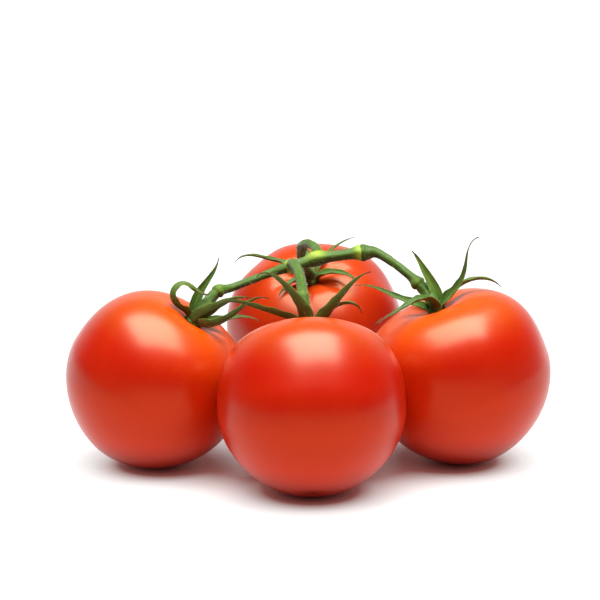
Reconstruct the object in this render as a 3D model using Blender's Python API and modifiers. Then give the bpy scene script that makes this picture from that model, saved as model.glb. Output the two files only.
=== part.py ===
"""Truss of four tomatoes lying on a table, on one green stem.

Lengths are in millimetres and angles in degrees until a mesh is made, where MM turns them into metres.
The origin is under the middle of the bunch, on the table. X runs to the right, Y away from the viewer.
"""
import math
from dataclasses import dataclass

import bmesh
import bpy
from mathutils import Matrix, Vector

MM = 0.001
GAP = 0.3  # air left between two pieces that touch on the real plant
FLAT_DEPTH = 0.3  # how much of each fruit's lowest point is flattened by resting on the table

# Fruit
FRUIT_STEPS = 40  # faces round the fruit's axis
PROFILE_POINTS = 22  # points from the stem end to the blossom end
DIMPLE_DEPTH = 4.2  # hollow that the stalk sits in
DIMPLE_RADIUS = 8.0
BLOSSOM_DEPTH = 0.8  # small hollow at the other end
BLOSSOM_RADIUS = 4.0

# Green parts
STEM_SPACING = 2.2  # between the points of a stem's route
STEM_SIDES = 2  # bevel resolution of a stem: 8 sides
SEPAL_SPACING = 1.7
SEPAL_THICKNESS = 0.7
SEPAL_FOLD = 0.35  # how far the midrib lies below the edges, as a share of half the width
SEPAL_NARROWEST = 0.12  # share of the full width left at the tip
RING_RADIUS = 3.6  # where the sepals spring from, round the end of the stalk
RING_LIFT = 1.5

COLLECTION = "truss_of_tomatoes"
CUTTERS = "cutters"
RED = (0.62, 0.03, 0.008, 1.0)
GREEN = (0.09, 0.20, 0.05, 1.0)
DARK_GREEN = (0.06, 0.15, 0.03, 1.0)


@dataclass(frozen=True)
class Fruit:
    """One tomato: where it stands, its size and the way its stem end points."""

    x: float
    y: float
    radius: float
    flatness: float  # half height over radius
    shoulder: float  # exponent of the upper half: under 1 is boxier than a ball
    base: float  # exponent of the lower half
    axis: Vector

    def profile(self, extra: float = 0.0) -> list[tuple[float, float]]:
        """Radius and height from the stem end to the blossom end, about the middle, grown by `extra`."""
        points = []
        for i in range(PROFILE_POINTS + 1):
            angle = math.pi * i / PROFILE_POINTS
            upper = angle < math.pi / 2
            power = self.shoulder if upper else self.base
            radius = self.radius * max(math.sin(angle), 0.0) ** power
            side = math.copysign(abs(math.cos(angle)) ** power, math.cos(angle))
            height = self.radius * self.flatness * side
            if upper:
                height -= DIMPLE_DEPTH * math.exp(-((radius / DIMPLE_RADIUS) ** 2))
            else:
                height += BLOSSOM_DEPTH * math.exp(-((radius / BLOSSOM_RADIUS) ** 2))
            points.append((radius + extra * math.sin(angle), height + extra * math.cos(angle)))
        return points

    def centre(self) -> Vector:
        """Middle of the fruit, at the height where its lowest point sinks FLAT_DEPTH into the table."""
        up = self.axis.normalized().z
        across = math.sqrt(1.0 - up * up)
        lowest = min(height * up - radius * across for radius, height in self.profile())
        return Vector((self.x, self.y, -lowest - FLAT_DEPTH))

    def junction(self) -> Vector:
        """Bottom of the hollow at the stem end."""
        return self.centre() + self.axis.normalized() * (self.radius * self.flatness - DIMPLE_DEPTH)


@dataclass(frozen=True)
class Sepal:
    """One narrow leaf of the star round a stalk's end, as the way it heads and climbs along its length."""

    base: float  # direction round the stalk from which it springs
    heading: tuple[float, ...]  # compass angle at evenly spaced stations, 0 along +X
    pitch: tuple[float, ...]  # climb at evenly spaced stations
    length: float
    width: float = 4.6
    roll: tuple[float, ...] = (0.0, 0.0)  # turn about its own midline, base and tip


FRUITS = {
    "front": Fruit(0.9, -55.6, 32.0, 0.937, 0.785, 1.027, Vector((-0.02, 0.483, 0.875))),
    "left": Fruit(-55.1, -20.6, 31.6, 0.968, 0.81, 1.10, Vector((0.537, -0.071, 0.843))),
    "right": Fruit(53.9, -15.9, 32.3, 0.94, 0.735, 1.11, Vector((-0.337, -0.019, 0.942))),
    "back": Fruit(2.0, 53.4, 33.6, 0.911, 0.89, 0.93, Vector((-0.056, -0.544, 0.837))),
}

# Routes run through these points, (x, y, z, radius of the stem there).
# The stalks end in their fruits' hollows.
MAIN_STEM = (
    (20.6, 9.0, 68.8, 2.2),
    (20.0, 4.0, 71.6, 2.3),
    (18.0, -1.5, 73.0, 3.1),
    (14.5, -3.0, 72.8, 2.2),
    (8.5, -4.0, 72.2, 2.2),
    (3.0, -5.0, 71.6, 2.9),
    (-2.0, -6.2, 70.3, 2.3),
    (-6.3, -7.6, 69.4, 2.8),
    (-8.0, -8.0, 68.8, 2.5),
)
STALKS = {
    "left": (
        (-6.3, -7.6, 69.4, 1.9),
        (-13.9, -9.2, 67.1, 1.5),
        (-20.9, -12.0, 65.0, 1.4),
        (-27.9, -15.0, 62.9, 1.6),
        (-31.8, -17.0, 62.4, 2.4),
        (-34.6, -19.0, 60.0, 2.1),
        (-36.8, -21.0, 57.6, 2.2),
    ),
    "right": (
        (18.0, -1.5, 73.0, 2.2),
        (23.4, -2.5, 73.5, 2.0),
        (28.0, -4.5, 71.5, 1.8),
        (32.6, -7.0, 68.6, 1.8),
        (36.4, -9.5, 65.7, 2.0),
        (38.3, -10.8, 64.0, 2.4),
        (41.3, -13.0, 61.2, 2.1),
    ),
    "front": (
        (-6.3, -7.6, 69.4, 2.0),
        (-5.2, -13.0, 70.8, 1.9),
        (-3.6, -22.0, 69.8, 1.85),
        (-2.6, -31.0, 67.4, 1.85),
        (-2.1, -36.5, 64.6, 2.15),
        (-0.8, -39.6, 60.0, 1.8),
    ),
    "back": (
        (3.0, -5.0, 71.6, 1.9),
        (1.9, 4.0, 74.0, 1.7),
        (-0.6, 11.0, 74.0, 1.6),
        (-2.6, 18.0, 71.2, 1.9),
        (-3.0, 25.0, 66.0, 1.6),
        (-1.9, 31.5, 61.0, 1.7),
    ),
}
STAR_RADIUS = 2.8  # flared end of each stalk
STAR_LIFT = 1.1  # its distance from the bottom of the hollow
FLARE_HEIGHT = 2.2  # where the stalk starts to flare
FLARE_RADIUS = 2.1

SEPALS = {
    "left": (
        Sepal(185, (-145, -155, -165), (80, 65, 195, 175), 29),
        Sepal(112, (90, 15, 50), (80, 60, 55, 75), 23),
        Sepal(-95, (-25, -15, 5), (50, 30, 25, -20), 24, 5.0),
        Sepal(-35, (-85, -5, -15), (10, 20, 40, -20), 32),
        Sepal(38, (-35, 5, -30), (0, 10, 5, -30), 22),
    ),
    "right": (
        Sepal(105, (130, 160, 170), (140, 65, 60, 45), 23, 4.4),
        Sepal(-35, (-20, -5, 20), (75, 55, 85, 10), 30),
        Sepal(35, (-25, 5, -15), (60, 40, 5, -45), 26),
        Sepal(-105, (-145, -145, -155), (110, -5, -20, -35), 30),
        Sepal(180, (-140, -195, -175), (40, 20, 20, -15), 29),
    ),
    "front": (
        Sepal(-110, (-120, -165, -130), (100, 55, 45, -30), 31, 4.8),
        Sepal(-40, (-20, -20, 5), (70, 50, 50, 15), 29, 4.6),
        Sepal(178, (190, 185, 195), (70, 20, 20, -20), 31, 4.4),
        Sepal(32, (65, 5, 10), (60, 45, 10, -80), 22, 4.2),
        Sepal(105, (100, 110, 120), (60, 10, -15, -30), 20, 4.2),
    ),
    "back": (
        Sepal(-30, (-25, -25, -35), (70, 10, -5, -55), 18, 4.8),
        Sepal(42, (45, 55, 5), (85, 25, 20, 10), 26, 4.0),
        Sepal(180, (135, 185, 200), (70, 15, 15, -55), 30),
        Sepal(-108, (-160, -145, -145), (50, -5, -30, -50), 15, 3.8),
        Sepal(108, (98, 90, 90), (60, 45, 30, 15), 13, 4.0),
    ),
}


def between_stations(stations: tuple[float, ...], share: float) -> float:
    """Value at this share of the way, on the smooth curve through evenly spaced stations."""
    last = len(stations) - 1
    total = 0.0
    for i, value in enumerate(stations):
        weight = 1.0
        for j in range(last + 1):
            if j != i:
                weight *= (share * last - j) / (i - j)
        total += value * weight
    return total


def smooth_route(points: list[tuple[float, ...]], spacing: float) -> list[tuple[float, ...]]:
    """Points every `spacing` or so along the Catmull-Rom curve through these, in every coordinate at once."""
    route = [points[0]]
    for i in range(len(points) - 1):
        before = points[max(i - 1, 0)]
        start, end = points[i], points[i + 1]
        after = points[min(i + 2, len(points) - 1)]
        steps = max(2, round(math.dist(start[:3], end[:3]) / spacing))
        for step in range(1, steps + 1):
            t = step / steps
            route.append(
                tuple(
                    0.5
                    * (
                        2 * b
                        + (c - a) * t
                        + (2 * a - 5 * b + 4 * c - d) * t * t
                        + (3 * b - a - 3 * c + d) * t**3
                    )
                    for a, b, c, d in zip(before, start, end, after)
                )
            )
    return route


def clear_scene() -> None:
    """Removes whatever objects the file already holds."""
    for obj in list(bpy.data.objects):
        bpy.data.objects.remove(obj, do_unlink=True)


def collection_named(name: str) -> bpy.types.Collection:
    """A new collection in the scene."""
    collection = bpy.data.collections.new(name)
    bpy.context.scene.collection.children.link(collection)
    return collection


def material_named(name: str, colour: tuple[float, ...], roughness: float) -> bpy.types.Material:
    """A plain Principled material."""
    material = bpy.data.materials.new(name)
    material.use_nodes = True
    shader = material.node_tree.nodes["Principled BSDF"]
    shader.inputs["Base Color"].default_value = colour
    shader.inputs["Roughness"].default_value = roughness
    shader.inputs["Metallic"].default_value = 0.0
    return material


def add_object(name: str, data: bpy.types.ID, collection: bpy.types.Collection) -> bpy.types.Object:
    """An object that holds this mesh or curve, linked to the collection."""
    obj = bpy.data.objects.new(name, data)
    collection.objects.link(obj)
    return obj


def add_cutter(name: str, mesh: bpy.types.Mesh, cutters: bpy.types.Collection) -> bpy.types.Object:
    """A helper that only cuts other pieces and never shows."""
    cutter = add_object(name, mesh, cutters)
    cutter.hide_render = True
    cutter.display_type = "WIRE"
    return cutter


def cut(obj: bpy.types.Object, cutter: bpy.types.Object) -> None:
    """Takes the cutter's volume out of the object."""
    boolean = obj.modifiers.new("cut_" + cutter.name, "BOOLEAN")
    boolean.operation = "DIFFERENCE"
    boolean.solver = "EXACT"
    boolean.use_self = True
    boolean.object = cutter


def make_table_cutter(cutters: bpy.types.Collection) -> bpy.types.Object:
    """A slab whose top is the table's surface."""
    side, depth = 300.0, 20.0
    mesh = bpy.data.meshes.new("table_cutter")
    work = bmesh.new()
    size = Matrix.Diagonal((side * MM, side * MM, depth * MM, 1.0))
    place = Matrix.Translation((0, 0, -depth / 2 * MM)) @ size
    bmesh.ops.create_cube(work, size=1.0, matrix=place)
    work.to_mesh(mesh)
    work.free()
    return add_cutter("table_cutter", mesh, cutters)


def outline_mesh(name: str, fruit: Fruit, extra: float) -> bpy.types.Mesh:
    """The fruit's outline as a chain of edges, grown by `extra`."""
    mesh = bpy.data.meshes.new(name)
    work = bmesh.new()
    outline = [work.verts.new((radius * MM, 0.0, height * MM)) for radius, height in fruit.profile(extra)]
    for upper, lower in zip(outline, outline[1:]):
        work.edges.new((upper, lower))
    work.to_mesh(mesh)
    work.free()
    return mesh


def turn(obj: bpy.types.Object, fruit: Fruit) -> None:
    """Turns the outline round the fruit's axis, and stands it tilted in its place."""
    screw = obj.modifiers.new("turn", "SCREW")
    screw.steps = FRUIT_STEPS
    screw.render_steps = FRUIT_STEPS
    screw.use_merge_vertices = True
    screw.merge_threshold = 0.00001
    tilt = Vector((0, 0, 1)).rotation_difference(fruit.axis)
    obj.matrix_world = Matrix.Translation(fruit.centre() * MM) @ tilt.to_matrix().to_4x4()


def make_fruit(
    name: str,
    truss: bpy.types.Collection,
    cutters: bpy.types.Collection,
    table: bpy.types.Object,
) -> bpy.types.Object:
    """A turned fruit, flattened where it rests, and the slightly bigger copy that keeps green parts clear."""
    fruit = FRUITS[name]
    obj = add_object(name + "_fruit", outline_mesh(name + "_fruit", fruit, 0.0), truss)
    turn(obj, fruit)
    cut(obj, table)
    obj.data.materials.append(material_named(name + "_fruit", RED, 0.3))
    room = add_cutter(name + "_fruit_room", outline_mesh(name + "_fruit_room", fruit, GAP), cutters)
    turn(room, fruit)
    return room


def tube_mesh(name: str, route: list[tuple[float, ...]], extra: float) -> bpy.types.Mesh:
    """A closed tube along the route, whose fourth numbers are its radii, made thicker by `extra`."""
    curve = bpy.data.curves.new(name, "CURVE")
    curve.dimensions = "3D"
    curve.bevel_depth = MM
    curve.bevel_resolution = STEM_SIDES
    curve.use_fill_caps = True
    spline = curve.splines.new("POLY")
    spline.points.add(len(route) - 1)
    for point, (x, y, z, radius) in zip(spline.points, route):
        point.co = (x * MM, y * MM, z * MM, 1.0)
        point.radius = radius + extra
    guide = bpy.data.objects.new(name, curve)
    bpy.context.scene.collection.objects.link(guide)
    graph = bpy.context.evaluated_depsgraph_get()
    mesh = bpy.data.meshes.new_from_object(guide.evaluated_get(graph))
    bpy.data.objects.remove(guide, do_unlink=True)
    bpy.data.curves.remove(curve)
    work = bmesh.new()
    work.from_mesh(mesh)
    bmesh.ops.remove_doubles(work, verts=work.verts, dist=0.01 * MM)
    bmesh.ops.recalc_face_normals(work, faces=work.faces)
    work.to_mesh(mesh)
    work.free()
    mesh.name = name
    return mesh


def stalk_route(name: str) -> list[tuple[float, ...]]:
    """The stalk's route, with its flared end in the fruit's hollow."""
    fruit = FRUITS[name]
    axis = fruit.axis.normalized()
    flare = fruit.junction() + axis * (STAR_LIFT + FLARE_HEIGHT)
    foot = fruit.junction() + axis * STAR_LIFT
    points = list(STALKS[name])
    points.append((*flare, FLARE_RADIUS))
    points.append((*foot, STAR_RADIUS))
    return smooth_route(points, STEM_SPACING)


def make_stem(
    name: str,
    route: list[tuple[float, ...]],
    truss: bpy.types.Collection,
    cutters: bpy.types.Collection,
) -> tuple[bpy.types.Object, bpy.types.Object]:
    """A stem along the route, and the slightly thicker copy that keeps its neighbours clear."""
    obj = add_object(name, tube_mesh(name, route, 0.0), truss)
    obj.data.materials.append(material_named(name, GREEN, 0.5))
    room = add_cutter(name + "_room", tube_mesh(name + "_room", route, GAP), cutters)
    return obj, room


def sepal_frames(fruit: Fruit, sepal: Sepal) -> list[tuple[Vector, Vector, Vector, float]]:
    """Place, width direction, upward normal and share of the length at each station along a sepal."""
    axis = fruit.axis.normalized()
    spoke = Vector((math.cos(math.radians(sepal.base)), math.sin(math.radians(sepal.base)), 0.0))
    spoke = (spoke - axis * spoke.dot(axis)).normalized()
    place = fruit.junction() + spoke * RING_RADIUS + axis * RING_LIFT
    steps = round(sepal.length / SEPAL_SPACING)
    frames = []
    for i in range(steps + 1):
        share = i / steps
        heading = math.radians(between_stations(sepal.heading, share))
        pitch = math.radians(between_stations(sepal.pitch, share))
        roll = math.radians(between_stations(sepal.roll, share))
        along = Vector(
            (math.cos(pitch) * math.cos(heading), math.cos(pitch) * math.sin(heading), math.sin(pitch))
        )
        if i:
            place = place + along * (sepal.length / steps)
        flat_up = Vector(
            (-math.sin(pitch) * math.cos(heading), -math.sin(pitch) * math.sin(heading), math.cos(pitch))
        )
        flat_wide = along.cross(flat_up)
        up = flat_up * math.cos(roll) + flat_wide * math.sin(roll)
        frames.append((place.copy(), along.cross(up), up, share))
    return frames


def sepal_width(share: float) -> float:
    """Share of the full width at this share of the length: narrow foot, widest near a fifth, long point."""
    foot = 0.72 + 0.28 * math.sin(min(share / 0.2, 1.0) * math.pi / 2)
    point = 1.0 - max(share - 0.2, 0.0) / 0.8
    return foot * max(point**0.8, SEPAL_NARROWEST)


def make_sepal(
    name: str,
    fruit: Fruit,
    sepal: Sepal,
    truss: bpy.types.Collection,
) -> bpy.types.Object:
    """A narrow leaf: a strip folded along its midrib, bent along its route and given its thickness."""
    frames = sepal_frames(fruit, sepal)
    mesh = bpy.data.meshes.new(name)
    work = bmesh.new()
    bmesh.ops.create_grid(work, x_segments=2, y_segments=len(frames) - 1, size=1.0)
    rows = len(frames) - 1
    for vert in work.verts:
        across = vert.co.x
        place, wide, up, share = frames[round((vert.co.y + 1.0) / 2.0 * rows)]
        half = 0.5 * sepal.width * sepal_width(share)
        lift = up * (half * SEPAL_FOLD * abs(across))
        vert.co = (place + wide * (half * across) + lift) * MM
    work.to_mesh(mesh)
    work.free()
    obj = add_object(name, mesh, truss)
    thick = obj.modifiers.new("thickness", "SOLIDIFY")
    thick.thickness = SEPAL_THICKNESS * MM
    thick.offset = 0.0
    obj.data.materials.append(material_named(name, DARK_GREEN, 0.55))
    return obj


def main() -> None:
    """Builds the whole bunch."""
    clear_scene()
    truss = collection_named(COLLECTION)
    cutters = collection_named(CUTTERS)
    table = make_table_cutter(cutters)
    fruit_rooms = {name: make_fruit(name, truss, cutters, table) for name in FRUITS}
    main_room = make_stem("main_stem", smooth_route(list(MAIN_STEM), STEM_SPACING), truss, cutters)[1]
    stalk_rooms = {}
    for name in STALKS:
        stalk, stalk_rooms[name] = make_stem(name + "_stalk", stalk_route(name), truss, cutters)
        cut(stalk, main_room)
        cut(stalk, fruit_rooms[name])
        if name == "front":
            cut(stalk, stalk_rooms["left"])
    for name, sepals in SEPALS.items():
        for number, sepal in enumerate(sepals, 1):
            leaf = make_sepal(f"{name}_sepal_{number}", FRUITS[name], sepal, truss)
            cut(leaf, stalk_rooms[name])
            cut(leaf, fruit_rooms[name])


main()
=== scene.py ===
"""Looks of a truss of four tomatoes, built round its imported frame.

The scene is in metres, +Z up. Sizes of the plant are given in millimetres and MM turns them into metres.
"""
from __future__ import annotations

import logging
import math
import random
from collections.abc import Callable
from dataclasses import dataclass, field
from enum import Enum
import bmesh
import bpy
from mathutils import Matrix, Vector, noise


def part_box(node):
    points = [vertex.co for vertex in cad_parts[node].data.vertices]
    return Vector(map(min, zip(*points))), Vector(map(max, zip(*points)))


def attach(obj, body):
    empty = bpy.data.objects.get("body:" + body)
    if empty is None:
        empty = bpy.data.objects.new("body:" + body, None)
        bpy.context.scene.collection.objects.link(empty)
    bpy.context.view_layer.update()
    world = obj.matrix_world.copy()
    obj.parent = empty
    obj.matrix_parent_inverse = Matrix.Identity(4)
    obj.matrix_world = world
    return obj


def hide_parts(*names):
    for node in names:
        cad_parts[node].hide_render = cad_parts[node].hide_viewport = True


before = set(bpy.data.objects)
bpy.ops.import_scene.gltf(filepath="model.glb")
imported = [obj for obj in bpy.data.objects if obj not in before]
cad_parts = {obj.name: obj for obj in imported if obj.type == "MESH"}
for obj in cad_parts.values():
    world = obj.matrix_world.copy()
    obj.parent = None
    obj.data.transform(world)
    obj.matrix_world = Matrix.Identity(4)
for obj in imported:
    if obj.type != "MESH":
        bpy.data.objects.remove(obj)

MM = 0.001
BODY = "root"
SURFACE = "surface"  # vertex attribute: where a point lies on its own piece
TINT_AND_SHADE = "tint_and_shade"  # vertex attribute: a stem's yellowing, a fruit's warmth and painted light (painted shade where it is low), a leaf's dryness (pale below 0)
REST_DEPTH = 0.3  # how much of a fruit's lowest point is flattened, in millimetres
log = logging.getLogger("truss")

Colour = tuple[float, float, float]
Shape = Callable[[int, float], tuple[Vector, Vector, float]]


class Slot(Enum):
    """Material slots of the record."""

    SKIN = "skin"
    STEM = "stem"
    SEPAL = "sepal"


class Side(Enum):
    """The four fruits, by where they lie."""

    FRONT = "front"
    LEFT = "left"
    RIGHT = "right"
    BACK = "back"


# ---- shader maths


class Value:
    """A node's output socket that takes part in Python arithmetic by adding Math nodes."""

    def __init__(self, tree: bpy.types.NodeTree, socket: bpy.types.NodeSocket) -> None:
        """Wraps one output socket of a node tree."""
        self.tree = tree
        self.socket = socket

    def math(self, operation: str, *others: Value | float) -> Value:
        """Adds one Math node.

        Args:
            operation: The Math node's operation.
            *others: The second and third operands, where the operation has them.

        Returns:
            The node's result.
        """
        made = self.tree.nodes.new("ShaderNodeMath")
        made.operation = operation
        for socket, operand in zip(made.inputs, (self, *others)):
            if isinstance(operand, Value):
                self.tree.links.new(operand.socket, socket)
            else:
                socket.default_value = operand
        return Value(self.tree, made.outputs[0])

    def constant(self, number: float) -> Value:
        """A Value node that holds a number, for the left side of an operator."""
        made = self.tree.nodes.new("ShaderNodeValue")
        made.outputs[0].default_value = number
        return Value(self.tree, made.outputs[0])

    def __add__(self, other: Value | float) -> Value:
        """Sum."""
        return self.math("ADD", other)

    def __radd__(self, other: float) -> Value:
        """Sum, with the number on the left."""
        return self.math("ADD", other)

    def __sub__(self, other: Value | float) -> Value:
        """Difference."""
        return self.math("SUBTRACT", other)

    def __rsub__(self, other: float) -> Value:
        """Difference, with the number on the left."""
        return self.constant(other).math("SUBTRACT", self)

    def __mul__(self, other: Value | float) -> Value:
        """Product."""
        return self.math("MULTIPLY", other)

    def __rmul__(self, other: float) -> Value:
        """Product, with the number on the left."""
        return self.math("MULTIPLY", other)

    def __truediv__(self, other: Value | float) -> Value:
        """Quotient."""
        return self.math("DIVIDE", other)

    def __pow__(self, other: Value | float) -> Value:
        """Power."""
        return self.math("POWER", other)

    def clamped(self) -> Value:
        """The value held between 0 and 1."""
        return self.math("MAXIMUM", 0.0).math("MINIMUM", 1.0)

    def rise(self, low: float, high: float) -> Value:
        """A smooth step from 0 at `low` to 1 at `high`, or the other way round where low is above high."""
        share = ((self - low) * (1.0 / (high - low))).clamped()
        return share * share * (3.0 - 2.0 * share)


class Graph:
    """The node tree of one material or world, filled by one method."""

    def __init__(self, tree: bpy.types.NodeTree) -> None:
        """Starts on an empty tree."""
        tree.nodes.clear()
        self.tree = tree

    def node(
        self,
        kind: str,
        settings: dict[str, object] | None = None,
        inputs: dict[str | int, object] | None = None,
        output: str | int = 0,
    ) -> Value:
        """Adds one node.

        Args:
            kind: The node's type, without the ShaderNode prefix.
            settings: Properties set before the sockets; "stops" is a ramp's list of (position, colour).
            inputs: Values or links of its sockets, by name or number.
            output: The output to hand back.

        Returns:
            That output.
        """
        made = self.tree.nodes.new("ShaderNode" + kind)
        for name, setting in (settings or {}).items():
            if name == "stops":
                self.fill_ramp(made.color_ramp, setting)
            else:
                setattr(made, name, setting)
        for name, value in (inputs or {}).items():
            socket = made.inputs[name]
            if isinstance(value, Value):
                self.tree.links.new(value.socket, socket)
            elif isinstance(value, tuple) and len(value) == 3 and socket.type == "RGBA":
                socket.default_value = (*value, 1.0)
            else:
                socket.default_value = value
        return Value(self.tree, made.outputs[output]) if made.outputs else Value(self.tree, None)

    @staticmethod
    def fill_ramp(ramp: bpy.types.ColorRamp, stops: list[tuple[float, Colour]]) -> None:
        """Gives a ramp its stops."""
        while len(ramp.elements) < len(stops):
            ramp.elements.new(1.0)
        for element, (position, colour) in zip(ramp.elements, stops):
            element.position = position
            element.color = (*colour, 1.0)

    def mix(self, share: Value | float, first: Value | Colour, second: Value | Colour) -> Value:
        """A colour between two colours."""
        return self.node("Mix", {"data_type": "RGBA"}, {0: share, 6: first, 7: second}, 2)

    def noise(self, vector: Value, scale: float, detail: float = 3.0) -> Value:
        """Fractal noise round one half."""
        inputs = {"Vector": vector, "Scale": scale, "Detail": detail, "Roughness": 0.55}
        return self.node("TexNoise", {}, inputs)

    def part(self, vector: Value, axis: int) -> Value:
        """One part of a vector: 0 for X, 1 for Y, 2 for Z."""
        return self.node("SeparateXYZ", {}, {"Vector": vector}, axis)

    def attribute(self, name: str) -> tuple[Value, Value, Value, Value]:
        """A vertex attribute as its vector and its three parts."""
        vector = self.node("Attribute", {"attribute_name": name}, {}, "Vector")
        return (vector, *(self.part(vector, axis) for axis in range(3)))

    def upward(self) -> Value:
        """How far the surface faces up: 1 upwards, 0 sideways, -1 downwards."""
        return self.part(self.node("NewGeometry", {}, {}, "Normal"), 2)


@dataclass(frozen=True)
class Gloss:
    """The constant shader settings of one finish."""

    ior: float = 1.45
    specular: float = 0.5
    coat: float = 0.0
    coat_roughness: float = 0.1
    tint: Colour = (1.0, 1.0, 1.0)
    sheen: float = 0.0
    sheen_roughness: float = 0.5
    scatter: float = 0.0
    scatter_radius: Colour = (1.0, 0.3, 0.2)
    scatter_scale: float = 0.002


def principled(
    name: str,
    gloss: Gloss,
    dress: Callable[[Graph], dict[str, object]],
) -> bpy.types.Material:
    """A material with one Principled shader.

    Args:
        name: The material's name.
        gloss: Its constant settings.
        dress: Adds the nodes that vary over the surface and returns them by socket.

    Returns:
        The material.
    """
    material = bpy.data.materials.new(name)
    material.use_nodes = True
    graph = Graph(material.node_tree)
    inputs = {
        "IOR": gloss.ior,
        "Specular IOR Level": gloss.specular,
        "Specular Tint": gloss.tint,
        "Coat Weight": gloss.coat,
        "Coat Roughness": gloss.coat_roughness,
        "Sheen Weight": gloss.sheen,
        "Sheen Roughness": gloss.sheen_roughness,
        "Subsurface Weight": gloss.scatter,
        "Subsurface Radius": gloss.scatter_radius,
        "Subsurface Scale": gloss.scatter_scale,
    }
    shader = graph.node("BsdfPrincipled", {}, {**inputs, **dress(graph)})
    graph.node("OutputMaterial", {}, {"Surface": shader})
    return material


@dataclass(frozen=True)
class SkinFinish:
    """Waxy tomato skin: deep red, more orange round the stalk, mottled and flecked.

    It also carries painted light and shade by the way it faces: a painted warm light on top, painted bounce
    light that makes the lower sides lighter, and painted shade underneath and over a fruit whose warmth value
    is low.
    """

    deep: Colour = (0.39, 0.0035, 0.0002)
    bright: Colour = (0.43, 0.014, 0.0003)
    shoulder: Colour = (0.60, 0.075, 0.002)
    # painted warm light on the faces turned up
    painted_top_light: Colour = (0.36, 0.034, 0.0008)
    # painted bounce light: a lighter red on the lower half
    below: Colour = (0.56, 0.016, 0.0006)
    # painted shade: underneath, and over a fruit whose warmth value is low
    shaded: Colour = (0.12, 0.0006, 0.0002)
    fleck: Colour = (0.70, 0.13, 0.02)
    scar: Colour = (0.08, 0.015, 0.006)
    wax: float = 0.44
    smoothest: float = 0.29

    def build(self) -> bpy.types.Material:
        """Makes the material."""
        gloss = Gloss(
            ior=1.43,
            tint=(1.0, 0.85, 0.42),
            specular=0.36,
            coat_roughness=0.33,
            scatter=0.12,
            scatter_radius=(1.0, 0.10, 0.04),
            scatter_scale=0.004,
        )
        return principled("tomato_skin", gloss, self.dress)

    def dress(self, graph: Graph) -> dict[str, object]:
        """Adds the skin's colour, roughness and fine relief.

        Args:
            graph: The material's tree.

        Returns:
            The sockets that vary.
        """
        place = graph.node("TexCoord", {}, {}, "Object")
        ring, _, _, share = graph.attribute(SURFACE)
        stretched = graph.node("Mapping", {}, {"Vector": ring, "Scale": (14.0, 14.0, 1.6)})
        streaks = graph.noise(stretched, 1.0, 4.0)
        clouds = graph.noise(place, 45.0, 3.0)
        grain = graph.noise(place, 900.0, 2.0)
        near_stalk = (share + 0.07 * (streaks - 0.5)).rise(0.42, 0.02)
        colour = graph.mix((clouds * 1.6 - 0.3).clamped(), self.deep, self.bright)
        upward = graph.upward()
        # painted bounce light: a lighter red where the skin faces down
        colour = graph.mix(upward.rise(0.2, -0.2), colour, self.below)
        warmth_and_light = graph.node("Attribute", {"attribute_name": TINT_AND_SHADE}, {}, "Fac")
        # painted shade over the whole fruit as its warmth value falls; the back fruit lies in the others'
        # shade
        colour = graph.mix((1.0 - warmth_and_light) * 0.6, colour, self.shaded)
        # painted warm light on the faces turned up, less on a fruit in painted shade
        colour = graph.mix(upward.rise(0.45, 0.9) * 0.9 * warmth_and_light, colour, self.painted_top_light)
        # painted shade on the faces turned down
        colour = graph.mix(upward.rise(-0.5, -0.95) * 0.7, colour, self.shaded)
        colour = graph.mix(near_stalk * 0.75 * warmth_and_light, colour, self.shoulder)
        cells = graph.node("TexVoronoi", {}, {"Vector": place, "Scale": 520.0}, "Distance")
        flecks = cells.rise(0.16, 0.05) * (grain * 2.2 - 0.6).clamped()
        colour = graph.mix(flecks * 0.12, colour, self.fleck)
        blossom_end = (share + 0.006 * (streaks - 0.5)).rise(0.990, 0.996)
        colour = graph.mix(blossom_end, colour, self.scar)
        relief = clouds * 0.6 + grain * 0.05 + streaks * 0.25
        bump = graph.node("Bump", {}, {"Strength": 0.10, "Distance": 0.0006, "Height": relief})
        return {
            "Base Color": colour,
            "Coat Weight": self.wax * upward.rise(0.0, 0.6) * (1.0 - 0.7 * near_stalk),
            "Roughness": self.smoothest + 0.06 * (clouds - 0.5) + 0.06 * flecks + 0.3 * blossom_end,
            "Normal": bump,
        }


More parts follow.
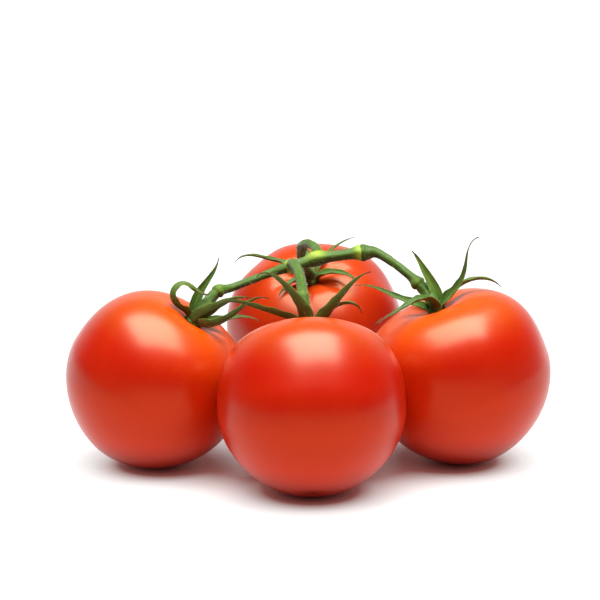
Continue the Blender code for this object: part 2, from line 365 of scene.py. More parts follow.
@dataclass(frozen=True)
class VineFinish:
    """Green stem skin: ribbed, finely haired, yellow-green at the swellings and darker brown-olive
    underneath, partly its own brown and partly painted shade.
    """

    green: Colour = (0.030, 0.080, 0.006)
    pale: Colour = (0.085, 0.160, 0.018)
    # brown-olive that also stands as painted shade on the faces turned down
    under: Colour = (0.028, 0.034, 0.004)
    swelling: Colour = (0.27, 0.38, 0.028)
    fuzz: Colour = (0.22, 0.32, 0.12)

    def build(self) -> bpy.types.Material:
        """Makes the material."""
        return principled("vine_skin", Gloss(specular=0.2, sheen=0.05, scatter=0.04), self.dress)

    def dress(self, graph: Graph) -> dict[str, object]:
        """Adds the vine's colour, roughness and ribs.

        Args:
            graph: The material's tree.

        Returns:
            The sockets that vary.
        """
        place = graph.node("TexCoord", {}, {}, "Object")
        ring = graph.attribute(SURFACE)[0]
        swollen = graph.node("Attribute", {"attribute_name": TINT_AND_SHADE}, {}, "Fac")
        stretched = graph.node("Mapping", {}, {"Vector": ring, "Scale": (5.0, 5.0, 0.9)})
        ribs = graph.noise(stretched, 1.0, 3.0)
        patches = graph.noise(place, 160.0, 3.0)
        hairs = graph.noise(place, 2600.0, 2.0)
        colour = graph.mix((ribs * 2.0 - 0.5).clamped(), self.green, self.pale)
        # darker brown-olive on the faces turned down: partly its own brown, partly painted shade
        colour = graph.mix((graph.upward() - 0.5 * patches).rise(0.1, -0.9) * 0.8, colour, self.under)
        colour = graph.mix(hairs.rise(0.58, 0.74) * 0.3, colour, self.fuzz)
        colour = graph.mix((swollen + 0.5 * (patches - 0.5) * swollen).clamped(), colour, self.swelling)
        relief = ribs * 0.8 + hairs * 0.18 + patches * 0.3
        bump = graph.node("Bump", {}, {"Strength": 0.5, "Distance": 0.0004, "Height": relief})
        return {"Base Color": colour, "Roughness": 0.42 + 0.25 * (patches - 0.5), "Normal": bump}


@dataclass(frozen=True)
class LeafFinish:
    """Sepal skin: green with a pale midrib and edges, paler below, and a dried brown tip."""

    face: Colour = (0.030, 0.095, 0.008)
    back: Colour = (0.040, 0.068, 0.007)
    rib: Colour = (0.15, 0.24, 0.038)
    dried: Colour = (0.060, 0.036, 0.020)

    def build(self) -> bpy.types.Material:
        """Makes the material."""
        return principled("sepal_skin", Gloss(specular=0.2, sheen=0.05, scatter=0.04), self.dress)

    def dress(self, graph: Graph) -> dict[str, object]:
        """Adds the leaf's colour, roughness and veins.

        Args:
            graph: The material's tree.

        Returns:
            The sockets that vary.
        """
        place = graph.node("TexCoord", {}, {}, "Object")
        leaf, across, face, along = graph.attribute(SURFACE)
        dry = graph.node("Attribute", {"attribute_name": TINT_AND_SHADE}, {}, "Fac")
        stretched = graph.node("Mapping", {}, {"Vector": leaf, "Scale": (7.0, 1.0, 3.0)})
        veins = graph.noise(stretched, 1.0, 3.0)
        patches = graph.noise(place, 240.0, 3.0)
        hairs = graph.noise(place, 3000.0, 2.0)
        reach = across.math("ABSOLUTE")
        colour = graph.mix(face.rise(0.1, -0.1), self.face, self.back)
        colour = graph.mix((veins * 1.8 - 0.5).clamped() * 0.35, colour, self.rib)
        midrib = reach.rise(0.13, 0.02)
        edge = reach.rise(0.86, 0.97)
        lighter = midrib * 0.55 + edge * 0.6 + hairs.rise(0.56, 0.7) * 0.3
        colour = graph.mix(lighter.clamped(), colour, self.rib)
        colour = graph.mix((dry * -1.0).clamped() * (0.4 + 0.9 * patches), colour, self.rib)
        browning = (along + 0.25 * (patches - 0.5)).rise(0.80, 0.98) * 0.9
        colour = graph.mix((browning + dry.clamped() * patches * 1.6).clamped(), colour, self.dried)
        relief = veins * 0.6 + hairs * 0.2 - midrib * 0.4
        bump = graph.node("Bump", {}, {"Strength": 0.45, "Distance": 0.0003, "Height": relief})
        return {"Base Color": colour, "Roughness": 0.48 + 0.2 * (patches - 0.5), "Normal": bump}


@dataclass(frozen=True)
class HairFinish:
    """The short pale hairs on every green part."""

    base: Colour = (0.42, 0.48, 0.20)
    tip: Colour = (0.70, 0.72, 0.45)

    def build(self) -> bpy.types.Material:
        """Makes the material."""
        return principled("fine_hair", Gloss(specular=0.3), self.dress)

    def dress(self, graph: Graph) -> dict[str, object]:
        """Adds the hairs' colour.

        Args:
            graph: The material's tree.

        Returns:
            The sockets that vary.
        """
        place = graph.node("TexCoord", {}, {}, "Object")
        spread = graph.noise(place, 700.0, 1.0)
        return {"Base Color": graph.mix(spread, self.base, self.tip), "Roughness": 0.5 + 0.1 * spread}


@dataclass
class Finishes:
    """Every material of the object, each made once."""

    skin: bpy.types.Material = field(default_factory=lambda: SkinFinish().build())
    vine: bpy.types.Material = field(default_factory=lambda: VineFinish().build())
    leaf: bpy.types.Material = field(default_factory=lambda: LeafFinish().build())
    hair: bpy.types.Material = field(default_factory=lambda: HairFinish().build())


# ---- curves and lofts


@dataclass
class Station:
    """One stop along a stem or a leaf, with its own axes."""

    place: Vector
    along: Vector
    side: Vector
    up: Vector
    share: float
    distance: float
    radius: float = 0.0
    mark: float = 0.0


def between_stations(stations: tuple[float, ...], share: float) -> float:
    """Value on the smooth curve through evenly spaced stations.

    Args:
        stations: The values there.
        share: Share of the way, 0 to 1.

    Returns:
        The value.
    """
    last = len(stations) - 1
    total = 0.0
    for i, value in enumerate(stations):
        weight = 1.0
        for j in range(last + 1):
            if j != i:
                weight *= (share * last - j) / (i - j)
        total += value * weight
    return total


def smooth_step(low: float, high: float, value: float) -> float:
    """A smooth step from 0 at `low` to 1 at `high`."""
    share = min(max((value - low) / (high - low), 0.0), 1.0)
    return share * share * (3.0 - 2.0 * share)


def bell(distance: float, width: float) -> float:
    """A bell curve, 1 at no distance."""
    return math.exp(-((distance / width) ** 2))


def smooth_route(points: list[tuple[float, ...]], spacing: float) -> list[Station]:
    """Stations along the Catmull-Rom curve through given points.

    Args:
        points: Each (x, y, z, radius).
        spacing: Distance between stations.

    Returns:
        The stations, whose axes turn as little as they can.
    """
    dense: list[tuple[float, ...]] = [(*points[0], 0.0)]
    for i in range(len(points) - 1):
        knots = (points[max(i - 1, 0)], points[i], points[i + 1], points[min(i + 2, len(points) - 1)])
        steps = max(2, round(math.dist(points[i][:3], points[i + 1][:3]) / spacing))
        for step in range(1, steps + 1):
            t = step / steps
            dense.append((*(catmull_rom(*values, t) for values in zip(*knots)), i + t))
    places = [Vector(point[:3]) for point in dense]
    lengths = [0.0]
    for before, after in zip(places, places[1:]):
        lengths.append(lengths[-1] + (after - before).length)
    stations: list[Station] = []
    side = Vector((0.0, 0.0, 1.0))
    for i, place in enumerate(places):
        along = (places[min(i + 1, len(places) - 1)] - places[max(i - 1, 0)]).normalized()
        side = (side - along * side.dot(along)).normalized()
        share = lengths[i] / lengths[-1]
        stations.append(Station(place, along, side, along.cross(side), share, lengths[i], *dense[i][3:]))
    return stations


def catmull_rom(a: float, b: float, c: float, d: float, t: float) -> float:
    """One coordinate of the Catmull-Rom curve between b and c."""
    return 0.5 * (2 * b + (c - a) * t + (2 * a - 5 * b + 4 * c - d) * t * t + (3 * b - a - 3 * c + d) * t**3)


class Modeller:
    """One piece in the making: a bmesh with the attributes that its material reads."""

    def __init__(self) -> None:
        """Starts an empty bmesh with its attribute layers."""
        self.work = bmesh.new()
        self.surface = self.work.verts.layers.float_vector.new(SURFACE)
        self.tint_and_shade = self.work.verts.layers.float.new(TINT_AND_SHADE)
        self.angle = self.work.verts.layers.float.new("angle")

    def loft(self, sides: int, count: int, shape: Shape) -> None:
        """Draws a closed skin through rings by extruding a circle's edge loop from ring to ring.

        Args:
            sides: Points in a ring.
            count: Number of rings.
            shape: From a ring's number and a point's angle to its place, its surface mark and its tint and
                shade value.
        """
        verts = bmesh.ops.create_circle(self.work, cap_ends=False, segments=sides, radius=1.0)["verts"]
        for vert in verts:
            vert[self.angle] = math.atan2(vert.co.y, vert.co.x)
        loop = list({edge for vert in verts for edge in vert.link_edges})
        first = loop
        self.set_ring(verts, 0, shape)
        for number in range(1, count):
            made = bmesh.ops.extrude_edge_only(self.work, edges=loop)["geom"]
            verts = [item for item in made if isinstance(item, bmesh.types.BMVert)]
            fresh = set(verts)
            edges = [item for item in made if isinstance(item, bmesh.types.BMEdge)]
            loop = [edge for edge in edges if set(edge.verts) <= fresh]
            self.set_ring(verts, number, shape)
        for end in (first, loop):
            bmesh.ops.contextual_create(self.work, geom=end)

    def set_ring(self, verts: list[bmesh.types.BMVert], number: int, shape: Shape) -> None:
        """Moves one ring's points to where the shape says."""
        for vert in verts:
            vert.co, vert[self.surface], vert[self.tint_and_shade] = shape(number, vert[self.angle])

    def add_hair(self, root: Vector, direction: Vector, length: float, thickness: float) -> None:
        """Adds one fine hair.

        Args:
            root: Where it grows from.
            direction: Which way it stands.
            length: Its length.
            thickness: Its radius at the root.
        """
        turn = Vector((0, 0, 1)).rotation_difference(direction).to_matrix().to_4x4()
        place = Matrix.Translation(root + direction * (length / 2)) @ turn
        made = bmesh.ops.create_cone(
            self.work,
            cap_ends=True,
            segments=3,
            radius1=thickness,
            radius2=thickness * 0.2,
            depth=length,
            matrix=place,
        )
        for face in {face for vert in made["verts"] for face in vert.link_faces}:
            face.material_index = 1

    def finish(self, name: str, slot: Slot, materials: list[bpy.types.Material]) -> bpy.types.Object:
        """Turns the bmesh into a piece that rides on the object's body and stands for its CAD node.

        Args:
            name: The CAD node's name.
            slot: The record's material slot; not used.
            materials: The piece's materials.

        Returns:
            The finished object.
        """
        self.work.verts.layers.float.remove(self.angle)
        bmesh.ops.recalc_face_normals(self.work, faces=self.work.faces)
        bmesh.ops.scale(self.work, verts=self.work.verts, vec=(MM, MM, MM))
        for face in self.work.faces:
            face.smooth = True
        mesh = bpy.data.meshes.new(name + "_skin")
        self.work.to_mesh(mesh)
        self.work.free()
        piece = bpy.data.objects.new(name + "_skin", mesh)
        bpy.context.scene.collection.objects.link(piece)
        for material in materials:
            mesh.materials.append(material)
        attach(piece, BODY)
        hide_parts(name)
        log.info("%s: %d faces", piece.name, len(mesh.polygons))
        return piece


# ---- fruit


@dataclass
class Fruit:
    """One tomato, turned from its outline, then lobed round the stalk and flattened where it rests."""

    side: Side
    radius: float
    flatness: float
    shoulder: float
    base: float
    axis: Vector
    lobes: int = 5
    lobe_turn: float = 0.0
    lobe_depth: float = 0.45
    crease_depth: float = 0.15
    unevenness: float = 0.35
    dimple_depth: float = 4.2
    dimple_radius: float = 8.0
    blossom_depth: float = 0.8
    blossom_radius: float = 4.0
    outline_points: int = 96
    steps: int = 144
    # below 1 the fruit gets painted shade, less painted top light and less orange round the stalk
    warmth_and_light: float = 1.0
    lift: Vector = field(default_factory=Vector)

    def node(self) -> str:
        """Name of its CAD node."""
        return self.side.value + "_fruit"

    def outline(self, share: float) -> tuple[float, float]:
        """Radius and height of the outline at a share of the way from the stem end to the blossom end."""
        turn = math.pi * share
        power = self.shoulder if share < 0.5 else self.base
        radius = self.radius * max(math.sin(turn), 0.0) ** power
        height = self.radius * self.flatness * math.copysign(abs(math.cos(turn)) ** power, math.cos(turn))
        if share < 0.5:
            height -= self.dimple_depth * bell(radius, self.dimple_radius)
        else:
            height += self.blossom_depth * bell(radius, self.blossom_radius)
        return radius, height

    def lobed(self, angle: float, radius: float, height: float, share: float) -> Vector:
        """Place of a skin point about the fruit's middle, with its lobes and creases.

        Args:
            angle: Direction round the axis.
            radius: Outline radius there.
            height: Outline height there.
            share: Share of the way from the stem end.

        Returns:
            The point, axis up.
        """
        wobble = 0.5 * math.sin(2 * angle + self.lobe_turn) + 0.3 * math.sin(3 * angle + 1.7 * self.lobe_turn)
        wave = math.cos(self.lobes * (angle + self.lobe_turn) + wobble)
        upper = 1.0 - smooth_step(0.15, 0.62, share)
        radius *= 1.0 + self.lobe_depth / self.radius * wave * upper * smooth_step(0.0, 0.18, share)
        crease = (0.5 - 0.5 * wave) ** 3
        height -= self.crease_depth * crease * bell(radius - 8.5, 5.5) * upper
        point = Vector((radius * math.cos(angle), radius * math.sin(angle), height))
        seed = Vector((self.lobe_turn * 7.0, self.radius, self.base * 9.0))
        bulge = self.unevenness * noise.noise(point * 0.035 + seed)
        return point + point.normalized() * bulge * smooth_step(4.0, 16.0, radius)

    def build(self, finishes: Finishes) -> bpy.types.Object:
        """Spins the outline, shapes the skin and stands it where its CAD node is.

        Args:
            finishes: The object's materials.

        Returns:
            The finished piece.
        """
        model = Modeller()
        work = model.work
        chain = []
        for i in range(self.outline_points + 1):
            share = (i / self.outline_points) ** 1.25
            radius, height = self.outline(share)
            vert = work.verts.new((radius, 0.0, height))
            vert[model.tint_and_shade] = share
            chain.append(vert)
        edges = [work.edges.new(pair) for pair in zip(chain, chain[1:])]
        bmesh.ops.spin(
            work,
            geom=chain + edges,
            cent=(0, 0, 0),
            axis=(0, 0, 1),
            angle=math.tau,
            steps=self.steps,
            use_merge=True,
        )
        bmesh.ops.remove_doubles(work, verts=work.verts, dist=0.001)
        for vert in work.verts:
            share = vert[model.tint_and_shade]
            radius = math.hypot(vert.co.x, vert.co.y)
            angle = math.atan2(vert.co.y, vert.co.x)
            vert[model.surface] = (math.cos(angle), math.sin(angle), share)
            vert[model.tint_and_shade] = self.warmth_and_light
            vert.co = self.lobed(angle, radius, vert.co.z, share)
        self.stand(work)
        return model.finish(self.node(), Slot.SKIN, [finishes.skin])

    def stand(self, work: bmesh.types.BMesh) -> None:
        """Tilts the fruit, moves it over its CAD node and flattens the spot it rests on."""
        tilt = Vector((0, 0, 1)).rotation_difference(self.axis).to_matrix().to_4x4()
        bmesh.ops.transform(work, matrix=tilt, verts=work.verts)
        low, high = (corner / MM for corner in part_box(self.node()))
        own_low = Vector(min(vert.co[i] for vert in work.verts) for i in range(3))
        own_high = Vector(max(vert.co[i] for vert in work.verts) for i in range(3))
        self.lift = (low + high - own_low - own_high) / 2
        self.lift.z = low.z - own_low.z - REST_DEPTH
        bmesh.ops.translate(work, vec=self.lift, verts=work.verts)
        for vert in work.verts:
            vert.co.z = max(vert.co.z, low.z)

    def junction(self) -> Vector:
        """Bottom of the hollow that the stalk sits in, once the fruit stands."""
        return self.lift + self.axis.normalized() * (self.radius * self.flatness - self.dimple_depth)


# ---- vine


@dataclass
class Swelling:
    """A thickening of a stem: a joint, or the place where a stalk leaves the vine."""

    point: float  # its place among the points of the route
    width: float
    bulge: float = 0.0
    yellow: float = 1.0
    above_only: bool = False
    crease: float = 0.0
    distance: float = 0.0

    def thickening(self, distance: float) -> float:
        """How much thicker the stem is at a distance along it."""
        away = distance - self.distance
        return self.bulge * bell(away, self.width) - self.crease * bell(away - 1.1 * self.width, 0.3)

    def yellowing(self, distance: float, height: float) -> float:
        """How yellow-green the skin is, at a distance along the stem and by how far it faces up."""
        share = self.yellow * bell(distance - self.distance, self.width)
        return share * smooth_step(0.1, 0.7, height) if self.above_only else share


@dataclass
class Stem:
    """The vine or a stalk: a ribbed, haired, slightly uneven tube along its route."""

    name: str
    points: list[tuple[float, ...]]
    swellings: list[Swelling] = field(default_factory=list)
    sides: int = 28
    spacing: float = 0.55
    ribs: int = 5
    rib_depth: float = 0.05
    roughness: float = 0.10
    hairs_per_mm: float = 9.0
    hair_length: tuple[float, float] = (0.35, 0.95)
    seed: int = 1
    flare: float = 0.0

    def build(self, finishes: Finishes) -> bpy.types.Object:
        """Lofts the stem and sets its hairs.

        Args:
            finishes: The object's materials.

        Returns:
            The finished piece.
        """
        stations = smooth_route(self.points, self.spacing)
        for swelling in self.swellings:
            swelling.distance = min(stations, key=lambda stop: abs(stop.mark - swelling.point)).distance
        model = Modeller()

        def shape(number: int, angle: float) -> tuple[Vector, Vector, float]:
            """Place, surface mark and yellowing of one point of the skin."""
            station = stations[number]
            outward = station.side * math.cos(angle) + station.up * math.sin(angle)
            mark = Vector((math.cos(angle), math.sin(angle), station.distance * 0.1))
            radius = self.radius_at(station, angle)
            yellow = sum(swelling.yellowing(station.distance, outward.z) for swelling in self.swellings)
            return station.place + outward * radius, mark, min(yellow, 1.0)

        model.loft(self.sides, len(stations), shape)
        self.set_hairs(model, stations)
        return model.finish(self.name, Slot.STEM, [finishes.vine, finishes.hair])

    def radius_at(self, station: Station, angle: float) -> float:
        """Radius of the skin at a station and an angle round it."""
        rib = self.rib_depth * math.cos(self.ribs * angle + station.distance * 0.05)
        around = Vector((math.cos(angle), math.sin(angle), station.distance * 0.35 + self.seed * 3.1))
        bump = self.roughness * noise.noise(around * 1.3)
        thicker = sum(swelling.thickening(station.distance) for swelling in self.swellings)
        return station.radius * (1.0 + rib + bump) + thicker + self.flare * bell(station.distance, 3.0)

    def set_hairs(self, model: Modeller, stations: list[Station]) -> None:
        """Scatters fine hairs over the stem."""
        chance = random.Random(self.seed)
        for _ in range(round(stations[-1].distance * self.hairs_per_mm)):
            station = stations[chance.randrange(1, len(stations) - 1)]
            angle = chance.uniform(0.0, math.tau)
            outward = station.side * math.cos(angle) + station.up * math.sin(angle)
            lean = Vector(chance.uniform(-0.5, 0.5) for _ in range(3))
            root = station.place + outward * (self.radius_at(station, angle) - 0.05)
            length = chance.uniform(*self.hair_length)
            model.add_hair(root, (outward + lean).normalized(), length, 0.03)


# ---- sepals


@dataclass
class Sepal:
    """One narrow leaf of the star round a stalk's end, as the way it heads and climbs along its length."""

    base: float
    heading: tuple[float, ...]
    pitch: tuple[float, ...]
    length: float
    width: float = 4.8
    roll: tuple[float, ...] = (0.0, 0.0)
    fold: float = 0.30
    curl: float = 0.5
    dryness: float = 0.15
    taper: float = 0.75
    thickness: float = 0.55
    sides: int = 28
    spacing: float = 0.5
    ring_radius: float = 2.5
    ring_lift: float = 1.5
    hairs_per_mm: float = 5.0

    def build(self, name: str, fruit: Fruit, seed: int, finishes: Finishes) -> bpy.types.Object:
        """Lofts the leaf and sets the hairs along its edges.

        Args:
            name: The CAD node's name.
            fruit: The fruit that it crowns.
            seed: Makes its small waves its own.
            finishes: The object's materials.

        Returns:
            The finished piece.
        """
        stations = self.stations(fruit)
        model = Modeller()

        def shape(number: int, angle: float) -> tuple[Vector, Vector, float]:
            """Place, surface mark and dryness of one point of the leaf."""
            station = stations[number]
            across, height, face = self.section(station, angle, seed)
            point = station.place + station.side * across + station.up * height
            return point, Vector((math.cos(angle), face, station.share)), self.dryness

        model.loft(self.sides, len(stations), shape)
        self.set_hairs(model, stations, seed)
        return model.finish(name, Slot.SEPAL, [finishes.leaf, finishes.hair])

    def stations(self, fruit: Fruit) -> list[Station]:
        """Walks along the leaf from the star's rim to its tip."""
        axis = fruit.axis.normalized()
        spoke = Vector((math.cos(math.radians(self.base)), math.sin(math.radians(self.base)), 0.0))
        spoke = (spoke - axis * spoke.dot(axis)).normalized()
        place = fruit.junction() + spoke * self.ring_radius + axis * self.ring_lift
        steps = round(self.length / self.spacing)
        found: list[Station] = []
        for i in range(steps + 1):
            share = i / steps
            heading = math.radians(between_stations(self.heading, share))
            pitch = math.radians(between_stations(self.pitch, share))
            roll = math.radians(between_stations(self.roll, share))
            along = Vector(
                (math.cos(pitch) * math.cos(heading), math.cos(pitch) * math.sin(heading), math.sin(pitch))
            )
            level = Vector(
                (-math.sin(pitch) * math.cos(heading), -math.sin(pitch) * math.sin(heading), math.cos(pitch))
            )
            if i:
                place = place + along * (self.length / steps)
            up = level * math.cos(roll) + along.cross(level) * math.sin(roll)
            found.append(Station(place, along, along.cross(up), up, share, share * self.length))
        return found

    def half_width(self, station: Station, seed: int) -> float:
        """Half of the leaf's width at a station: narrow foot, widest near a fifth, long point."""
        share = station.share
        foot = 0.86 + 0.14 * smooth_step(0.0, 0.15, share)
        point = max(1.0 - max(share - 0.15, 0.0) / 0.85, 0.0) ** self.taper
        wave = 1.0 + 0.03 * math.sin(station.distance * 0.9 + seed)
        return 0.5 * self.width * max(foot * point * wave, 0.09)

    def section(self, station: Station, angle: float, seed: int) -> tuple[float, float, float]:
        """One point of the leaf's cross section.

        Args:
            station: The stop along the leaf.
            angle: The point's angle, 0 at one edge and half a turn at the other.
            seed: Makes its small waves its own.

        Returns:
            How far it lies to the side and above the midline, and 1 on the face or -1 on the back.
        """
        across = math.cos(angle)
        face = 1.0 if math.sin(angle) >= 0.0 else -1.0
        half = self.half_width(station, seed)
        thick = self.thickness * (1.0 - 0.6 * station.share) * min(1.0, 0.35 + half)
        rib = bell(across, 0.16)
        height = half * self.fold * abs(across) ** 1.4
        height += half * self.curl * smooth_step(0.55, 1.0, abs(across)) * (0.3 + 0.7 * station.share)
        height += 0.5 * thick * math.sin(angle)
        height -= rib * (0.10 if face > 0 else 0.28) * min(half, 1.0)
        ripple = 0.10 * half * math.sin(station.distance * 1.1 + 2.1 * seed + (3.0 if across > 0 else 0.0))
        return half * across, height + ripple * across * across, face

    def set_hairs(self, model: Modeller, stations: list[Station], seed: int) -> None:
        """Scatters fine hairs along both edges and the back."""
        chance = random.Random(seed)
        for _ in range(round(self.length * self.hairs_per_mm)):
            station = stations[chance.randrange(2, len(stations) - 2)]
            angle = chance.choice((0.0, math.pi, 1.5 * math.pi)) + chance.gauss(0.0, 0.35)
            across, height, _ = self.section(station, angle, seed)
            outward = station.side * math.cos(angle) + station.up * math.sin(angle)
            lean = Vector(chance.uniform(-0.5, 0.5) for _ in range(3))
            root = station.place + station.side * across * 0.98 + station.up * height
            model.add_hair(root, (outward + lean).normalized(), chance.uniform(0.25, 0.7), 0.022)


# ---- studio


@dataclass
class Studio:
    """A white table that glows by itself with painted light and painted contact shadows, one big soft light
    overhead, a pale surround and the camera.
    """

    camera_place: Colour = (0.001, -0.8287, 0.2381)
    camera_down: float = 12.436
    camera_left: float = 0.298
    lens: float = 141.7
    table_side: float = 40.0
    rest_spots: tuple[Colour, ...] = ()
    box_size: tuple[float, float] = (1.0, 0.92)
    box_place: Colour = (0.03, -0.14, 1.05)
    box_power: float = 37.0
    table_colour: Colour = (0.30, 0.30, 0.30)
    table_roughness: float = 0.6
    glow: float = 1.3
    nearby_glow: float = 0.54  # share of the glow left beside the object and on the viewer's side
    world_floor: float = 0.02
    world_white: float = 0.7

    def build(self) -> None:
        """Sets up the table, the lights and the camera."""
        self.add_table()
        self.add_softbox()
        self.add_surround()
        self.add_camera()
        settings = bpy.context.scene.view_settings
        settings.view_transform = "Standard"
        settings.look = "None"
        log.info("studio ready")

    def add_table(self) -> None:
        """Lays the white table under the object."""
        work = bmesh.new()
        bmesh.ops.create_grid(work, x_segments=1, y_segments=1, size=self.table_side / 2)
        mesh = bpy.data.meshes.new("table")
        work.to_mesh(mesh)
        work.free()
        table = bpy.data.objects.new("table", mesh)
        bpy.context.scene.collection.objects.link(table)
        mesh.materials.append(principled("table_glow_and_painted_shadow", Gloss(specular=0.2), self.paint_table))

    def paint_table(self, graph: Graph) -> dict[str, object]:
        """A pale table that glows by itself as painted light, dimmer and redder round each resting spot as a
        painted contact shadow with painted red bounce light.

        The glow is also dimmer close to the object and on the viewer's side than far behind it, as painted
        shade.

        Args:
            graph: The material's tree.

        Returns:
            The sockets that differ from the defaults.
        """
        place = graph.node("TexCoord", {}, {}, "Object")
        away = self.distance_from(graph, place, (0.0, 0.0, 0.0))
        # painted contact shadow mask: 0 at the object's middle and at each resting spot, 1 further out
        near = away.rise(0.008, 0.085)
        for spot in self.rest_spots:
            near = near * self.distance_from(graph, place, spot).rise(0.003, 0.024)
        # painted light: the glow is brightest far behind the object, dimmer beside it and on the viewer's
        # side
        depth = graph.part(place, 1)
        gain = 1.0 - self.nearby_glow
        far = away.rise(0.15, 1.1) * gain * depth.rise(-0.25, -0.1) + self.nearby_glow
        # painted contact shadow colours: black at the spots, dark red as painted red bounce light, white
        # further out
        stops = [
            (0.0, (0.0, 0.0, 0.0)),
            (0.22, (0.11, 0.028, 0.024)),
            (0.46, (0.26, 0.083, 0.074)),
            (0.67, (0.574, 0.444, 0.426)),
            (1.0, (1.0, 0.985, 0.975)),
        ]
        painted_contact_shadow = graph.node("ValToRGB", {"stops": stops}, {"Fac": near})
        return {
            "Base Color": self.table_colour,
            "Roughness": self.table_roughness,
            "Emission Color": graph.mix(far, (0.0, 0.0, 0.0), painted_contact_shadow),
            "Emission Strength": self.glow,
        }

    @staticmethod
    def distance_from(graph: Graph, place: Value, spot: Colour) -> Value:
        """Distance of a shaded point from a spot."""
        return graph.node("VectorMath", {"operation": "DISTANCE"}, {0: place, 1: spot}, "Value")

    def add_softbox(self) -> None:
        """Hangs the big light above and a little behind the object."""
        light = bpy.data.lights.new("softbox", "AREA")
        light.shape = "RECTANGLE"
        light.size, light.size_y = self.box_size
        light.energy = self.box_power
        lamp = bpy.data.objects.new("softbox", light)
        bpy.context.scene.collection.objects.link(lamp)
        lamp.location = self.box_place
        lamp.rotation_euler = Vector(self.box_place).to_track_quat("Z", "Y").to_euler()

    def add_surround(self) -> None:
        """Lights the world white behind and at the sides, and dim on the viewer's side."""
        world = bpy.data.worlds.new("surround")
        bpy.context.scene.world = world
        world.use_nodes = True
        graph = Graph(world.node_tree)
        towards = graph.node("TexCoord", {}, {}, "Generated")
        white = graph.part(towards, 1).rise(0.25, 0.85) * graph.part(towards, 2).rise(0.8, 0.3)
        strength = self.world_floor + self.world_white * white
        shade = graph.node("Background", {}, {"Color": (1.0, 1.0, 1.0), "Strength": strength})
        graph.node("OutputWorld", {}, {"Surface": shade})

    def add_camera(self) -> None:
        """Places the camera low in front, looking a little down."""
        camera = bpy.data.cameras.new("camera")
        camera.lens = self.lens
        camera.sensor_width = 36.0
        camera.clip_end = 50.0
        eye = bpy.data.objects.new("camera", camera)
        bpy.context.scene.collection.objects.link(eye)
        eye.location = self.camera_place
        turn = (math.radians(90.0 - self.camera_down), 0.0, math.radians(self.camera_left))
        eye.rotation_euler = turn
        bpy.context.scene.camera = eye


# ---- the bunch


@dataclass
class Truss:
    """The whole bunch: four fruits, the vine with its stalks, and a star of sepals on each fruit."""

    finishes: Finishes = field(default_factory=Finishes)

    def fruits(self) -> dict[Side, Fruit]:
        """The four tomatoes."""
        return {
            Side.FRONT: Fruit(
                Side.FRONT, radius=32.0, flatness=0.937, shoulder=0.785, base=1.027,
                axis=Vector((-0.02, 0.483, 0.875)), lobe_turn=0.4,
            ),
            Side.LEFT: Fruit(
                Side.LEFT, radius=31.6, flatness=0.968, shoulder=0.81, base=1.10,
                axis=Vector((0.537, -0.071, 0.843)), lobe_turn=1.3,
            ),
            Side.RIGHT: Fruit(
                Side.RIGHT, radius=32.3, flatness=0.94, shoulder=0.735, base=1.11,
                axis=Vector((-0.337, -0.019, 0.942)), lobes=6, lobe_turn=2.2,
            ),
            Side.BACK: Fruit(
                Side.BACK, radius=33.6, flatness=0.911, shoulder=0.89, base=0.93,
                axis=Vector((-0.056, -0.544, 0.837)), lobes=6, lobe_turn=0.2,
                # a low warmth value paints shade over the back fruit
                lobe_depth=0.9, crease_depth=1.1, warmth_and_light=0.45,
            ),
        }

    def build(self) -> None:
        """Builds every piece in order."""
        fruits = self.fruits()
        for fruit in fruits.values():
            fruit.build(self.finishes)
        Stem("main_stem", list(MAIN_STEM), SWELLINGS["main_stem"], seed=3).build(self.finishes)
        for number, (side, points) in enumerate(STALKS.items()):
            route = list(points) + self.foot(fruits[side])
            name = side.value + "_stalk"
            stalk = Stem(name, route, SWELLINGS[name], seed=11 + number, rib_depth=0.035, flare=0.4)
            stalk.build(self.finishes)
        for side, sepals in SEPALS.items():
            for number, sepal in enumerate(sepals, 1):
                seed = 10 * list(Side).index(side) + number
                sepal.build(f"{side.value}_sepal_{number}", fruits[side], seed, self.finishes)

    def foot(self, fruit: Fruit) -> list[tuple[float, ...]]:
        """The last points of a stalk's route, flaring into its fruit's hollow."""
        axis = fruit.axis.normalized()
        stops = ((3.3, 2.2), (2.0, 2.6), (1.0, 3.2), (0.5, 3.0), (-0.4, 2.0))
        return [(*(fruit.junction() + axis * height), radius) for height, radius in stops]


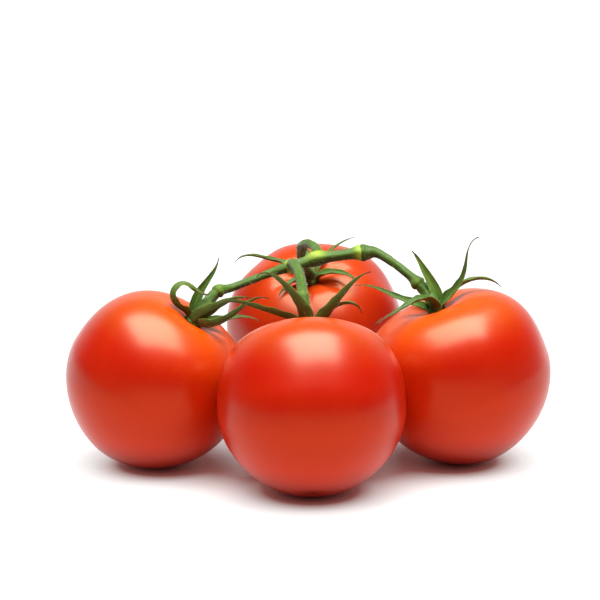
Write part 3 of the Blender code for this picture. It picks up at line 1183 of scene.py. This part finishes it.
# Routes run through these points, (x, y, z, radius of the stem there), as on the CAD stems.
MAIN_STEM = (
    (20.4, 8.4, 69.6, 1.2),
    (20.3, 7.4, 70.2, 1.6),
    (19.8, 4.0, 71.8, 1.8),
    (18.2, -1.5, 73.0, 2.5),
    (14.5, -3.0, 72.8, 1.95),
    (8.5, -4.0, 72.2, 1.95),
    (3.0, -5.0, 71.6, 2.3),
    (-2.0, -6.2, 70.3, 2.0),
    (-6.3, -7.6, 69.4, 2.2),
    (-8.4, -8.1, 68.8, 1.7),
    (-9.4, -8.3, 68.5, 0.6),
)
STALKS = {
    Side.LEFT: (
        (-4.5, -7.0, 69.9, 1.2),
        (-7.5, -7.8, 69.1, 1.9),
        (-13.9, -9.2, 67.1, 1.45),
        (-20.9, -12.0, 65.0, 1.35),
        (-27.9, -15.0, 62.9, 1.5),
        (-31.8, -17.0, 62.4, 1.75),
        (-34.6, -19.0, 60.0, 2.1),
        (-36.8, -21.0, 57.6, 2.2),
    ),
    Side.RIGHT: (
        (16.5, -2.4, 72.8, 1.6),
        (19.0, -1.8, 73.0, 2.9),
        (21.0, -1.9, 73.2, 2.5),
        (24.0, -2.6, 73.2, 1.75),
        (28.0, -4.5, 71.3, 1.55),
        (32.6, -7.0, 68.4, 1.5),
        (36.4, -9.5, 65.6, 1.6),
        (38.3, -10.8, 64.0, 2.0),
        (41.3, -13.0, 61.2, 2.2),
    ),
    Side.FRONT: (
        (-6.3, -5.5, 69.0, 1.4),
        (-6.1, -9.0, 70.2, 2.0),
        (-5.2, -13.0, 70.8, 1.8),
        (-3.6, -22.0, 69.8, 1.75),
        (-2.6, -31.0, 67.4, 1.75),
        (-2.1, -36.5, 64.6, 1.85),
        (-0.8, -39.6, 60.0, 1.75),
    ),
    Side.BACK: (
        (3.2, -6.0, 71.4, 1.4),
        (2.8, -2.0, 72.8, 1.9),
        (1.9, 4.0, 74.0, 1.6),
        (-0.6, 11.0, 74.0, 1.5),
        (-2.6, 18.0, 71.2, 1.7),
        (-3.0, 25.0, 66.0, 1.6),
        (-1.9, 31.5, 61.0, 1.7),
    ),
}
SWELLINGS = {
    "main_stem": [
        Swelling(3.3, 1.5, 0.35),
        Swelling(6.1, 3.0, 0.45, above_only=True),
        Swelling(8.4, 1.3, 0.3),
    ],
    "left_stalk": [Swelling(5.0, 1.5, 0.75, 0.22, crease=0.35)],
    "right_stalk": [Swelling(7.0, 1.5, 0.6, 0.15, crease=0.35)],
    "front_stalk": [Swelling(5.0, 1.3, 0.4, 0.12, crease=0.35)],
    "back_stalk": [Swelling(4.0, 1.5, 0.4, 0.1, crease=0.3)],
}

# Each: way it springs, headings and climbs at even stations, length, width, roll. Angles are in degrees.
SEPALS = {
    Side.LEFT: (
        Sepal(185, (-145, -155, -165), (80, 65, 195, 175), 29, 4.8, (10, -20), dryness=-0.25, taper=0.5),
        Sepal(112, (90, 15, 50), (80, 60, 55, 75), 23, 4.4, (50, 60), taper=0.9),
        Sepal(-95, (-25, -15, 5), (50, 30, 25, -20), 24, 5.6, (-75, -50), taper=1.1),
        Sepal(-35, (-85, -5, -15), (10, 20, 40, -20), 32, 4.8, (-45, -50), taper=0.95),
        Sepal(38, (-35, 5, -30), (0, 10, 5, -30), 22, 4.4, (35, 20), taper=1.2),
    ),
    Side.RIGHT: (
        Sepal(105, (130, 160, 170), (140, 65, 60, 45), 23, 4.8, (-40, -75), dryness=-0.55),
        Sepal(-35, (-20, -5, 20), (75, 55, 85, 10), 30, 4.8, (35, 50), taper=1.5),
        Sepal(35, (-25, 5, -15), (60, 40, 5, -45), 26, 4.2, dryness=-0.15),
        Sepal(-105, (-145, -145, -155), (110, -5, -20, -35), 30, 5.0, (0, -10), taper=1.3),
        Sepal(180, (-140, -195, -175), (40, 20, 20, -15), 29, 4.0, (-35, -30), taper=1.1),
    ),
    Side.FRONT: (
        Sepal(-110, (-120, -165, -130), (100, 55, 45, -30), 31, 5.4, (45, 50), taper=1.05),
        Sepal(-40, (-20, -20, 5), (70, 50, 50, 15), 29, 5.0, (-45, -55), taper=0.9),
        Sepal(178, (190, 185, 195), (70, 20, 20, -20), 31, 4.6, (35, 40)),
        Sepal(32, (65, 5, 10), (60, 45, 10, -80), 22, 4.2, (-20, 0)),
        Sepal(105, (100, 110, 120), (60, 10, -15, -30), 20, 4.2),
    ),
    Side.BACK: (
        Sepal(-30, (-25, -25, -35), (70, 10, -5, -55), 18, 4.4, (20, 20)),
        Sepal(42, (45, 55, 5), (85, 25, 20, 10), 26, 2.3),
        Sepal(180, (135, 185, 200), (70, 15, 15, -55), 30, 3.6, (-10, -10)),
        Sepal(-108, (-160, -145, -145), (50, -5, -30, -50), 15, 3.8),
        Sepal(108, (98, 90, 90), (60, 45, 30, 15), 13, 4.0),
    ),
}


def main() -> None:
    """Builds the object and its studio."""
    logging.basicConfig(level=logging.INFO, format="%(name)s: %(message)s")
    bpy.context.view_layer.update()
    rest_spots = [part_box(side.value + "_fruit") for side in Side]
    middles = tuple(tuple((low + high) / 2 * Vector((1.0, 1.0, 0.0))) for low, high in rest_spots)
    Studio(rest_spots=middles).build()
    Truss().build()


if __name__ == "__main__":
    main()
